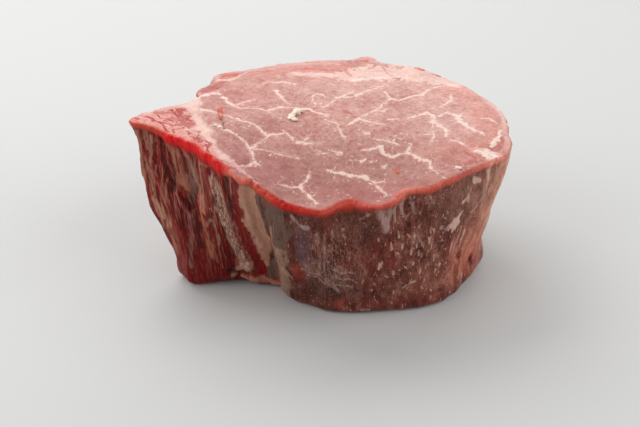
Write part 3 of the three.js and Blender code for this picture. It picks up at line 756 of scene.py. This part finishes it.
WALL_STAINS_AND_SHADE = [
    # The deep red foot of the corner and the dark of the left front are painted shade at the foot of the
    # wall.
    ("deep red foot of the corner", (207, 4), (14, 6), (98, 12, 10), 0.75),
    ("red of the corner", (198, 12), (9, 9), (106, 20, 16), 0.5),
    ("dark under the lip", (258, 36), (20, 6), (66, 40, 36), 0.85),
    ("dark of the left front", (259, 8), (15, 8), (62, 24, 18), 0.85),
    ("violet strip", (253.4, 22), (3.4, 7.5), (88, 64, 68), 0.95),
    ("red of the middle front", (281, 19), (10, 10), (100, 40, 32), 0.6),
    ("brown of the middle front", (276, 28), (12, 5), (94, 62, 52), 0.5),
    ("deep red patch", (268.6, 22), (4, 4.5), (84, 28, 20), 0.85),
    ("dark strip beside the sheet", (248.4, 20), (2.2, 8), (76, 26, 20), 0.8),
    ("red foot of that strip", (249.6, 12.5), (3, 3), (146, 52, 38), 0.75),
    ("wet red spot", (268.6, 4), (3, 1.6), (150, 60, 44), 0.7),
    ("red foot", (292, 3), (26, 3), (116, 52, 42), 0.6),
    ("brown upper right", (318, 32), (15, 8), (120, 82, 70), 0.7),
    ("dark above the leaf", (309, 27), (7, 5), (92, 60, 50), 0.5),
    ("salmon of the lower right", (326, 12), (11, 8), (176, 98, 78), 0.75),
    ("pink of the lower front", (304, 11), (12, 8), (138, 84, 70), 0.5),
    ("red bump at the foot", (336, 6), (7, 5), (146, 62, 48), 0.6),
    ("tan right end", (338, 27), (10, 14), (210, 146, 122), 0.8),
    ("cream at the right end", (350, 24), (9, 18), (208, 162, 142), 0.8),
    ("right side", (20, 20), (24, 24), (150, 92, 78), 0.5),
    ("pink fat of the back", (78, 24), (24, 22), (190, 132, 116), 0.7),
    ("red of the back", (112, 18), (12, 18), (128, 48, 38), 0.6),
    ("membrane of the back", (138, 26), (18, 18), (138, 80, 70), 0.6),
    ("red behind the seam", (170, 18), (10, 18), (128, 44, 36), 0.6),
]
stain_and_painted_light, stain_and_painted_light_share = np.zeros((len(grain), 3)), np.zeros(len(grain))
for stain_and_light_table, light, where in ((FACE_STAINS_AND_PAINTED_LIGHT, TOP_LIGHT, cut_face), (WALL_STAINS_AND_SHADE, WALL_LIGHT, wall)):
    for name, middle, reach, colour, strength in stain_and_light_table:
        if stain_and_light_table is FACE_STAINS_AND_PAINTED_LIGHT:
            away = np.hypot((flat[:, 0] - middle[0]) / reach[0], (flat[:, 1] - middle[1]) / reach[1])
        else:
            away = np.hypot(turned(degrees, middle[0]) / reach[0], (heights - middle[1]) / reach[1])
        share = strength * bell(away, 1, 2.5) * where
        total = stain_and_painted_light_share + share * (1 - stain_and_painted_light_share)
        mix = np.divide(share, total, out=np.zeros_like(total), where=total > 0)[:, None]
        stain_and_painted_light, stain_and_painted_light_share = stain_and_painted_light * (1 - mix) + tint(colour, light) * mix, total

# Where the wall shows a web of fine pale lines, where it is pitted, and where it is dotted with flecks of
# fat: each is a patch with a middle and a reach in degrees, and a middle and a reach in height.
slant = turned(degrees, 261)
web = bell(turned(degrees, 266), 11, 3) * bell(heights - 17, 10, 3)
web = np.maximum(web, bell(slant, 9, 3) * bell(heights - 12.5 + slant * 0.4, 3))
web = np.maximum(web, 0.6 * bell(turned(degrees, 80), 80, 4) * bell(heights - 22, 15, 4))
pitted = wall * bell(turned(degrees, 215.3) - 3.6 * ease(heights, 24, 7), 2.4, 4)
pitted *= bell(heights - 21, 14, 4)
speckled = 0.5 + 0.5 * bell(turned(degrees, 304), 26, 4) * bell(heights - 15, 13, 4)

# Relief: bundles of fibre on the side muscle, finer grain on the eye, and what stands up or sinks in.
RELIEF = {"bundles": 0.35, "grain": 0.1, "lumps": 0.2, "face": 0.04, "vein": 0.06, "cleft": 0.8}
CRISP = 0.46  # how far the upper edge is drawn out, to make it sharper
LIP_ROLL = 0.2  # how far the lip stands out, with a groove under it
FOOT_FLATNESS = 0.9  # the share of the relief that the weight of the steak presses flat
relief = raised - RELIEF["cleft"] * ease(fields["cleft"], 0.5, -0.4)
relief += wall * side_muscle * RELIEF["bundles"] * (0.3 - np.abs(rough(grain, 1.8, 14, 3, 5)))
relief += wall * RELIEF["grain"] * rough(grain, 1.0, 4, 3, 6)
relief += wall * RELIEF["lumps"] * rough(grain, 7.0, 2, 2, 7)
relief += cut_face * RELIEF["face"] * rough(grain, 1.4, 1, 3, 8)
relief += RELIEF["vein"] * ease(fields["vein"], 0.3, -0.4)
relief += CRISP * bell(from_edge - 0.1, 0.62) * ease(heights, 20, 25)
roll = bell(from_edge - lip_tall * 0.5, 0.9) - 0.6 * bell(from_edge - lip_tall - 0.8, 0.8)
relief += LIP_ROLL * lip_shown * roll
relief *= 1 - FOOT_FLATNESS * place.foot
shaped = place.spots + place.normals * relief[:, None]
shaped[:, 2] = np.maximum(shaped[:, 2], 0)
for vert, spot in zip(skin.verts, shaped):
    vert.co = spot * MM
fine_mesh = bpy.data.meshes.new("steak_flesh")
skin.to_mesh(fine_mesh)
skin.free()
fine_mesh.polygons.foreach_set("use_smooth", [True] * len(fine_mesh.polygons))
flesh.data = fine_mesh

# Each field is stored on the skin as a number, or three, for each point, for the material to read.
stored = {
    **fields,
    **paints,
    "grain": grain,
    "lip": np.clip(lip, -FAR, FAR),
    "lip_colour": np.column_stack(lip_colour),
    "lip_shown": lip_shown,
    "side_muscle": side_muscle,
    "cut_face": cut_face,
    "degrees": degrees,
    "height": heights,
    "stain_and_painted_light": stain_and_painted_light,
    "stain_and_painted_light_share": stain_and_painted_light_share,
    "web": web,
    "speckled": speckled,
    "pitted": pitted,
}
for name, values in stored.items():
    kind, part = ("FLOAT_VECTOR", "vector") if values.ndim == 2 else ("FLOAT", "value")
    kept = fine_mesh.attributes.new(name, kind, "POINT")
    kept.data.foreach_set(part, values.astype(np.float32).ravel())


class Wire:
    """An output in a material. Arithmetic on it adds Math nodes, and add makes any other node."""

    def __init__(self, tree, socket=None):
        self.tree, self.socket = tree, socket

    def add(self, kind, settings=None, inputs=None, output=0):
        node = self.tree.nodes.new("ShaderNode" + kind)
        for name, value in (settings or {}).items():
            setattr(node, name, value)
        for name, value in (inputs or {}).items():
            if isinstance(value, Wire):
                self.tree.links.new(value.socket, node.inputs[name])
            else:
                node.inputs[name].default_value = value
        return Wire(self.tree, node.outputs[output] if len(node.outputs) else node)

    def math(self, operation, first, second=0.0):
        return self.add("Math", {"operation": operation}, {0: first, 1: second})

    def __add__(self, other):
        return self.math("ADD", self, other)

    def __sub__(self, other):
        return self.math("SUBTRACT", self, other)

    def __rsub__(self, other):
        return self.math("SUBTRACT", other, self)

    def __mul__(self, other):
        return self.math("MULTIPLY", self, other)

    __radd__, __rmul__ = __add__, __mul__

    def ease(self, start, end):
        """0 before start and 1 after end, with a smooth step between. It may run downwards."""
        limits = {"Value": self, "From Min": start, "From Max": end}
        return self.add("MapRange", {"interpolation_type": "SMOOTHSTEP"}, limits)

    def blend(self, under, over):
        """The colour under where this is 0, and the colour over where it is 1."""
        return self.add("Mix", {"data_type": "RGBA"}, {0: self, 6: under, 7: over}, 2)

    def lit(self, by):
        """This colour, made lighter or darker by a number."""
        return self.add("VectorMath", {"operation": "SCALE"}, {0: self, "Scale": by})

    def stored(self, name, output="Fac"):
        return self.add("Attribute", {"attribute_name": name}, output=output)

    def stretched(self, along):
        """This place, with Z divided, so that a pattern on it is drawn out along the fibres."""
        return self.add("VectorMath", {"operation": "MULTIPLY"}, {0: self, 1: (1, 1, 1 / along)})

    def strayed(self, size, by):
        """This place, moved about by noise in patches of a size in mm."""
        values = {"Vector": self, "Scale": 1 / size, "Detail": 1.0}
        drift = self.add("TexNoise", inputs=values, output="Color")
        drift = self.add("VectorMath", {"operation": "SUBTRACT"}, {0: drift, 1: (0.5, 0.5, 0.5)})
        return self.add("VectorMath", inputs={0: self, 1: drift.lit(by)})

    def drawn_out(self, along):
        """This place, with X divided, so that a pattern on it is drawn out along X."""
        return self.add("VectorMath", {"operation": "MULTIPLY"}, {0: self, 1: (1 / along, 1, 1)})

    def turned(self, degrees, axis=(0, 0, 1)):
        return self.add("VectorRotate", inputs={"Vector": self, "Axis": axis, "Angle": math.radians(degrees)})

    def mottle(self, size, detail=2.0, rough=0.5, distortion=0.0):
        """Noise of about 0.3 to 0.7 in patches of a size in mm."""
        values = {"Vector": self, "Scale": 1 / size, "Detail": detail}
        return self.add("TexNoise", inputs={**values, "Roughness": rough, "Distortion": distortion})

    def cells(self, size, output="Distance"):
        """Irregular cells of a size in mm: the distance from each one's middle, or its own colour."""
        return self.add("TexVoronoi", inputs={"Vector": self, "Scale": 1 / size}, output=output)

    def borders(self, size):
        """The distance from the borders of irregular cells of a size in mm, as a share of it."""
        return self.add("TexVoronoi", {"feature": "DISTANCE_TO_EDGE"}, {"Vector": self, "Scale": 1 / size})

    def apart(self, middle=0.5):
        """How far this number is from a middle, either way."""
        off = self - middle
        return off.math("ABSOLUTE", off)

    def red_part(self):
        return self.add("SeparateColor", inputs={0: self})


def on_top(*colour):
    return [*tint(colour, TOP_LIGHT), 1.0]


def on_side(*colour):
    return [*tint(colour, WALL_LIGHT), 1.0]


LEAN_DEEP = on_top(190, 124, 114)
LEAN_MID = on_top(209, 153, 142)
LEAN_PALE = on_top(228, 182, 170)
SIDE_TOP_RED = on_top(184, 68, 60)
SIDE_TOP_MID = on_top(232, 152, 144)
SIDE_TOP_PALE = on_top(248, 200, 190)
FAT_PINK = on_top(236, 184, 174)
FAT_CREAM = on_top(252, 220, 208)
LIP_HIGHLIGHT = on_top(240, 140, 112)
EYE_DARK = on_side(56, 22, 16)
EYE_MID = on_side(104, 54, 44)
EYE_LIGHT = on_side(146, 106, 92)
EYE_RED = on_side(112, 32, 22)
SIDE_DARK = on_side(40, 6, 5)
SIDE_RED = on_side(110, 7, 5)
SIDE_TAN = on_side(146, 98, 80)
WEB_PALE = on_side(148, 118, 104)
FAT_ROSY = on_side(204, 134, 118)
FLECK_PALE = on_side(186, 144, 128)
GRAIN_PALE = on_side(200, 158, 140)
PIT_SHADE = on_side(58, 26, 20)
CLEFT_SHADE = on_side(44, 22, 18)


def beef():
    material = bpy.data.materials.new("raw_beef")
    material.use_nodes = True
    tree = material.node_tree
    tree.nodes.clear()
    start = Wire(tree)
    along = start.stored("grain", "Vector")
    columns = along.stretched(20)
    cut = start.stored("cut_face").ease(0.25, 0.75)
    side = start.stored("side_muscle")
    threads = along.stretched(12).mottle(0.42, 3, 0.6)
    streaks = along.stretched(10).mottle(1.3, 3, 0.6)
    grit = along.stretched(1.4).mottle(0.34, 3, 0.65)
    clots = along.stretched(2).mottle(2.6, 4, 0.62)
    ragged = along.stretched(4).mottle(0.45, 3, 0.6) - 0.5

    # The cut face: the ends of the fibre bundles, in a fine mosaic with a net of thin pale lines.
    bundle = columns.cells(0.75, "Color").red_part()
    shade = columns.mottle(4.5, 3, 0.6)
    speckle = columns.mottle(0.55, 2, 0.55)
    tone = bundle * 0.26 + shade * 0.78 + speckle * 0.28
    face = tone.ease(0.5, 0.68).blend(LEAN_DEEP, LEAN_MID)
    face = (tone.ease(0.68, 0.95) * 0.8).blend(face, LEAN_PALE)
    face_stain_and_light = start.stored("stain_and_painted_light_share") * (tone * 0.7 + 0.4)
    stain_and_painted_light = start.stored("stain_and_painted_light", "Color")
    face = face_stain_and_light.blend(face, stain_and_painted_light.lit(tone * 0.8 + 0.44))
    by_vein = start.stored("vein").ease(2.8, 0.3)
    net = columns.strayed(2.5, 1.0).borders(3.0).ease(0.035, 0.0)
    net = net * (by_vein * 0.6 + shade.ease(0.45, 0.6) * 0.4)
    face = (net * 0.55).blend(face, FAT_CREAM)
    for turn, size in ((25, 1.5), (-50, 1.1), (80, 0.8)):
        flecks = columns.turned(turn).drawn_out(2.6).strayed(1.0, 0.5)
        chosen = flecks.cells(size, "Color").red_part().ease(0.5, 0.85) * (by_vein * 0.6 + 0.5)
        face = (flecks.cells(size).ease(0.2, 0.08) * chosen).blend(face, FAT_CREAM)

    # The cut end of the side muscle: pink, with thin pale and red lines that swirl.
    curl = columns.turned(35).drawn_out(1.7).mottle(2.7, 2, 0.5, 1.8)
    side_face = curl.ease(0.38, 0.52).blend(SIDE_TOP_RED, SIDE_TOP_MID)
    side_face = (curl.apart(0.52).ease(0.03, 0.0) * 0.85).blend(side_face, SIDE_TOP_PALE)
    side_face = (curl.apart(0.6).ease(0.02, 0.0) * 0.7).blend(side_face, SIDE_TOP_PALE)
    side_face = (curl.apart(0.45).ease(0.015, 0.0) * 0.9).blend(side_face, SIDE_TOP_RED)
    side_face = (speckle.ease(0.5, 0.64) * 0.3).blend(side_face, SIDE_TOP_PALE)
    face = side.blend(face, side_face)

    # The wall of the eye: grainy and darker than the cut face, partly because the air has dried it and partly
    # as painted shade.
    tone = threads * 0.25 + grit * 0.5 + clots * 0.75
    eye = tone.ease(0.62, 0.76).blend(EYE_DARK, EYE_MID)
    eye = (tone.ease(0.75, 0.9) * 0.9).blend(eye, EYE_LIGHT)
    eye = (along.stretched(2).mottle(3.2, 3, 0.6).ease(0.52, 0.66) * 0.55).blend(eye, EYE_RED)

    # The wall of the side muscle: long bundles of red fibre with tan sinew between them.
    bands = along.stretched(15).mottle(1.5, 4, 0.62)
    flank = bands.ease(0.34, 0.46).blend(SIDE_DARK, SIDE_RED)
    flank = (bands.ease(0.54, 0.6) * 0.75).blend(flank, SIDE_TAN)
    flank = (threads.ease(0.46, 0.34) * 0.5).blend(flank, SIDE_DARK)
    flank = (threads.ease(0.54, 0.66) * 0.4).blend(flank, SIDE_TAN)
    hairs = along.stretched(16).mottle(0.9, 2, 0.5)
    flank = (hairs.apart(0.53).ease(0.03, 0.0) * 0.6).blend(flank, SIDE_TAN)
    flank = (hairs.apart(0.43).ease(0.035, 0.0) * 0.85).blend(flank, SIDE_DARK)
    walls = side.blend(eye, flank)
    stained_and_shaded = start.stored("stain_and_painted_light_share") * (clots * 1.0 + 0.4)
    walls = stained_and_shaded.blend(walls, stain_and_painted_light.lit(grit * 1.6 + threads * 0.9 + clots * 1.3 - 0.9))

    # Flecks of fat on the wall of the eye, upright and slanting, and a web of thin pale lines.
    on_eye = start.stored("speckled") * (1 - side)
    for lean, long, size, share in ((0, 2.6, 1.0, 0.9), (40, 2.6, 1.2, 0.85), (-30, 2.2, 0.7, 0.7)):
        spots = along.turned(lean, (0, 1, 0)).stretched(long).strayed(0.8, 0.6)
        chosen = spots.cells(size, "Color").red_part().ease(0.55, 0.8)
        dots = (spots.cells(size) + ragged * 0.5).ease(0.24, 0.14)
        walls = (dots * chosen * on_eye * share).blend(walls, FLECK_PALE)
    lines = along.stretched(9).mottle(0.8, 3, 0.6).apart().ease(0.035, 0.0)
    rings = along.stretched(0.8).mottle(1.6, 3, 0.6, 1.0).apart().ease(0.03, 0.0)
    rings = rings * start.stored("height").ease(22, 14)
    webbed = start.stored("web") * lines.math("MAXIMUM", lines, rings)
    walls = (webbed * 0.85).blend(walls, WEB_PALE)
    colour = cut.blend(walls, face)

    # The strokes: broad ones, then thin ones over them, with ragged edges and a grain of their own.
    grained = threads * 1.3 + grit * 1.0 + streaks * 0.9 - 0.6
    lobes = along.stretched(1.6).strayed(3.0, 2.5).borders(6.0)
    for layer, soft, stray, share, melt in (("broad", 0.6, 1.2, 0.88, 1), ("thin", 0.28, 0.7, 0.8, 0)):
        field = start.stored(layer) + ragged * stray + (streaks - 0.5) * stray * (1 - cut)
        gaps = (threads.ease(0.5, 0.4) * 0.55 + streaks.ease(0.46, 0.36) * 0.4) * (1 - cut) * side
        paint = start.stored(layer + "_paint", "Color")
        smooth_share = paint.red_part().ease(0.24, 0.4) * (1 - cut)
        fatty = paint.red_part().ease(0.5, 0.65) * (1 - cut)
        blur = (fatty * 0.4 + cut * 0.1) * melt + soft
        shown = field.ease(blur, blur * -1.0) * (1 - gaps) * share
        smooth = lobes.ease(0.0, 0.2) * 0.12 + clots * 0.9 + grit * 0.5 + 0.22
        wall_paint = (smooth_share * 0.8).blend(paint.lit(grained), paint.lit(smooth))
        wall_paint = (field.ease(-2.6, -0.2) * fatty * melt * 0.5).blend(wall_paint, FAT_ROSY)
        face_paint = paint.lit(bundle * 0.14 + shade * 0.5 + speckle * 0.35 + 0.52)
        colour = shown.blend(colour, cut.blend(wall_paint, face_paint))

    # The streak of the side muscle that is pitted like a sponge: the dark in its pits is painted shade,
    # between pale grains.
    pits = along.stretched(1.5).strayed(0.8, 0.9).cells(0.75) + ragged * 0.6
    pitted = start.stored("pitted")
    colour = (pits.ease(0.38, 0.55) * pitted * 0.65).blend(colour, PIT_SHADE)
    colour = (pits.ease(0.34, 0.1) * pitted * 0.5).blend(colour, GRAIN_PALE)

    # The veins: a crisp cream heart in a wider pink haze.
    vein = start.stored("vein")
    colour = ((vein + ragged * 0.8).ease(0.55, -0.1) * cut * 0.4).blend(colour, FAT_PINK)
    heart = (vein + ragged * 0.9 + 0.12).ease(0.17, -0.17)
    colour = (heart * (speckle * 0.6 + 0.62)).blend(colour, FAT_CREAM)

    # The lip, glossy and ragged at its foot and darker towards it, partly fresh red and partly painted glow
    # of light through the thin edge, with a thin orange line on top where it is tall, a painted highlight.
    lip = start.stored("lip")
    foot = lip + (threads - 0.5) * 1.3 * lip.ease(0.2, 1.0) + ragged * 0.4
    edge = (lip + ragged * 0.7).ease(-0.35, 0.2) * foot.ease(1.3, 0.7) * start.stored("lip_shown")
    lip_paint = start.stored("lip_colour", "Color")
    lip_paint = foot.ease(0.4, 1.1).blend(lip_paint, lip_paint.lit(0.5))
    lip_paint = lip_paint.lit((threads * 0.8 + streaks * 0.8 + grit * 0.4) * (1 - cut * 0.3))
    colour = edge.blend(colour, lip_paint)
    # The thin orange line along the top of the lip is a painted highlight.
    round_ = start.stored("degrees")
    orange = round_.ease(176, 184) * round_.ease(219, 208) * lip.ease(-0.4, -0.2) * lip.ease(0.1, 0.0)
    colour = (orange * 0.6).blend(colour, LIP_HIGHLIGHT)

    # The thin pink rim along the upper edge of the back and of the right end.
    rimmed = round_.ease(62, 76) * round_.ease(152, 142) + round_.ease(332, 342) + round_.ease(36, 26)
    rim = (lip + ragged * 2.0).ease(-1.8, -1.0) * (lip + ragged * 1.6).ease(0.2, -0.3) * rimmed
    colour = (rim * (shade.ease(0.35, 0.6) * 0.6 + 0.15)).blend(colour, FAT_PINK)

    # Painted shade in the clefts, the holes and the slit.
    dark = (start.stored("cleft") + ragged * 0.6).ease(0.3, -0.3)
    colour = (dark * 0.75).blend(colour, CLEFT_SHADE)

    # The fine grain of the surface, and its moist shine.
    height = threads * 0.5 + grit * 0.6 + clots * 0.8
    height = height * (1 - cut) + speckle * cut * 0.5
    bumps = {"Strength": 0.45, "Distance": 0.3 * MM, "Height": height}
    bump = start.add("Bump", inputs=bumps, output="Normal")
    wet = along.mottle(3.0, 3, 0.6).ease(0.35, 0.65)
    shader = {
        "Base Color": colour,
        "Roughness": wet * 0.16 + 0.44 - edge * 0.16,
        "Normal": bump,
        "IOR": 1.4,
        "Specular IOR Level": 0.16,
        "Subsurface Weight": 0.12,
        "Subsurface Radius": (1.0, 0.35, 0.25),
        "Subsurface Scale": 0.6 * MM,
        "Coat Weight": edge * 0.12 + 0.04,
        "Coat Roughness": 0.22,
        "Coat IOR": 1.35,
    }
    body = start.add("BsdfPrincipled", inputs=shader)
    start.add("OutputMaterial", inputs={"Surface": body})
    return material


flesh.data.materials.append(beef())
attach(flesh, "root")
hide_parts("steak")


# ---- The crumbs ----
# Scraps of fat and meat that the knife left on the upper cut face. The largest is a bent scrap of
# white fat, and a red sliver stands up beside the seam. They only stick to the moist face.
WHITE, CORAL = (255, 232, 212), (232, 120, 98)
CRUMBS = [  # colour, width and height in mm, and the route along the face
    (WHITE, 1.8, 0.9, [(-7.9, -5.0), (-7.2, -3.4), (-7.2, -1.8)]),
    (WHITE, 2.2, 1.2, [(-7.2, -2.2), (-5.9, -1), (-5.4, 0.6)]),
    (WHITE, 1.6, 0.8, [(-7.4, -4.8), (-5.7, -5.2)]),
    (CORAL, 1.1, 1.5, [(-25.8, -1.6), (-25.2, -4)]),
    (CORAL, 0.9, 1.0, [(-25.4, -3.6), (-24.8, -7.4)]),
    (WHITE, 1.3, 0.8, [(-26.2, -10.6), (-25.6, -11.3)]),
    (WHITE, 1.0, 0.4, [(32.4, -26.4), (32.9, -26.3)]),
    (CORAL, 0.7, 0.5, [(18.2, -24.0), (18.5, -24.6)]),
]
CRUMB_RINGS, CRUMB_SIDES = 15, 12
CRUMB_LIGHT = 1.32
CRUMB_SINK = 0.3  # the share of a crumb's height that is in the meat
CRUMB_LUMPS = 0.6  # how uneven it is, as a share of its width

crumbs = bmesh.new()
crumb_tints = []
for number, (colour, wide, high, route) in enumerate(CRUMBS):
    path = [np.array(spot, dtype=float) for spot in route]
    rings = []
    for step in range(CRUMB_RINGS):
        t = step / (CRUMB_RINGS - 1) * (len(path) - 1)
        leg = min(int(t), len(path) - 2)
        x, y = path[leg] + (path[leg + 1] - path[leg]) * (t - leg)
        ahead = path[leg + 1] - path[leg]
        sideways = np.array([-ahead[1], ahead[0]]) / np.linalg.norm(ahead)
        swell = math.sin(math.pi * (0.1 + 0.8 * step / (CRUMB_RINGS - 1)))
        swell *= 1 + CRUMB_LUMPS * noise.noise(Vector((number * 7, step * 0.6, 0)))
        top = surface.ray_cast(Vector((x, y, 2 * THICKNESS)) * MM, Vector((0, 0, -1)))[0].z / MM
        ring = []
        for side in range(CRUMB_SIDES):
            angle = 2 * math.pi * side / CRUMB_SIDES
            bulge = swell * (1 + CRUMB_LUMPS * noise.noise(Vector((number * 3, step * 0.7, side * 0.8))))
            out = wide / 2 * math.cos(angle) * bulge
            up = high * (0.5 * math.sin(angle) * bulge + 0.5 - CRUMB_SINK)
            spot = Vector((x + sideways[0] * out, y + sideways[1] * out, top + up))
            ring.append(crumbs.verts.new(spot * MM))
        rings.append(ring)
    for ring, following in zip(rings, rings[1:]):
        for side in range(CRUMB_SIDES):
            after = (side + 1) % CRUMB_SIDES
            crumbs.faces.new((ring[side], ring[after], following[after], following[side]))
    crumbs.faces.new(rings[0][::-1])
    crumbs.faces.new(rings[-1])
    crumb_tints += [(*tint(colour, CRUMB_LIGHT), 1.0)] * CRUMB_RINGS * CRUMB_SIDES
bmesh.ops.recalc_face_normals(crumbs, faces=crumbs.faces)
crumb_mesh = bpy.data.meshes.new("crumbs")
crumbs.to_mesh(crumb_mesh)
crumbs.free()
crumb_mesh.polygons.foreach_set("use_smooth", [True] * len(crumb_mesh.polygons))
crumb_mesh.attributes.new("tint", "FLOAT_COLOR", "POINT").data.foreach_set("color", np.ravel(crumb_tints))
crumb_piece = bpy.data.objects.new("crumbs", crumb_mesh)
scene.collection.objects.link(crumb_piece)

crumb_fat = bpy.data.materials.new("crumb_fat")
crumb_fat.use_nodes = True
crumb_fat.node_tree.nodes.clear()
start = Wire(crumb_fat.node_tree)
mottled = start.add("TexCoord", output="Object").mottle(0.5 * MM, 3)
shader = {
    "Base Color": start.stored("tint", "Color").lit(mottled * 0.9 + 0.5),
    "Roughness": 0.4,
    "IOR": 1.4,
    "Subsurface Weight": 0.2,
    "Subsurface Radius": (1.0, 0.5, 0.35),
    "Subsurface Scale": 0.6 * MM,
}
start.add("OutputMaterial", inputs={"Surface": start.add("BsdfPrincipled", inputs=shader)})
crumb_mesh.materials.append(crumb_fat)
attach(crumb_piece, "root")


# ---- The board ----
# A plain pale floor, which isn't part of the steak. It reaches far past the view on all sides, and the
# steak lies on it.
FLOOR_REACH = 3.0
FLOOR_COLOUR = (0.46, 0.462, 0.458, 1.0)

floor_mesh = bpy.data.meshes.new("floor")
slab = bmesh.new()
bmesh.ops.create_grid(slab, x_segments=1, y_segments=1, size=FLOOR_REACH)
slab.to_mesh(floor_mesh)
slab.free()
floor = bpy.data.objects.new("floor", floor_mesh)
scene.collection.objects.link(floor)
floor_paint = bpy.data.materials.new("pale_floor")
floor_paint.use_nodes = True
floor_paint.node_tree.nodes["Principled BSDF"].inputs["Base Color"].default_value = FLOOR_COLOUR
floor_paint.node_tree.nodes["Principled BSDF"].inputs["Roughness"].default_value = 0.7
floor_mesh.materials.append(floor_paint)


# ---- The light ----
# Soft daylight from four square panels, each with its place and size in mm: a large window behind and to
# the left, a panel behind that gives the moist face its sheen, and a weak fill at each side.
LIGHTS = [
    ("window", (-300, 360, 520), 500, 3.6),
    ("sheen", (150, 560, 380), 620, 1.8),
    ("right fill", (480, -120, 330), 500, 2.2),
    ("left fill", (-480, -160, 300), 500, 1.8),
]
SKY = 0.4

for name, place, size, power in LIGHTS:
    lamp = bpy.data.lights.new(name, "AREA")
    lamp.size = size * MM
    lamp.energy = power
    light = bpy.data.objects.new(name, lamp)
    light.location = Vector(place) * MM
    light.rotation_euler = (-light.location).to_track_quat("-Z", "Y").to_euler()
    scene.collection.objects.link(light)

world = bpy.data.worlds.new("sky")
world.use_nodes = True
world.node_tree.nodes["Background"].inputs["Color"].default_value = (1.0, 0.985, 0.97, 1.0)
world.node_tree.nodes["Background"].inputs["Strength"].default_value = SKY
scene.world = world
scene.view_settings.view_transform = "Standard"
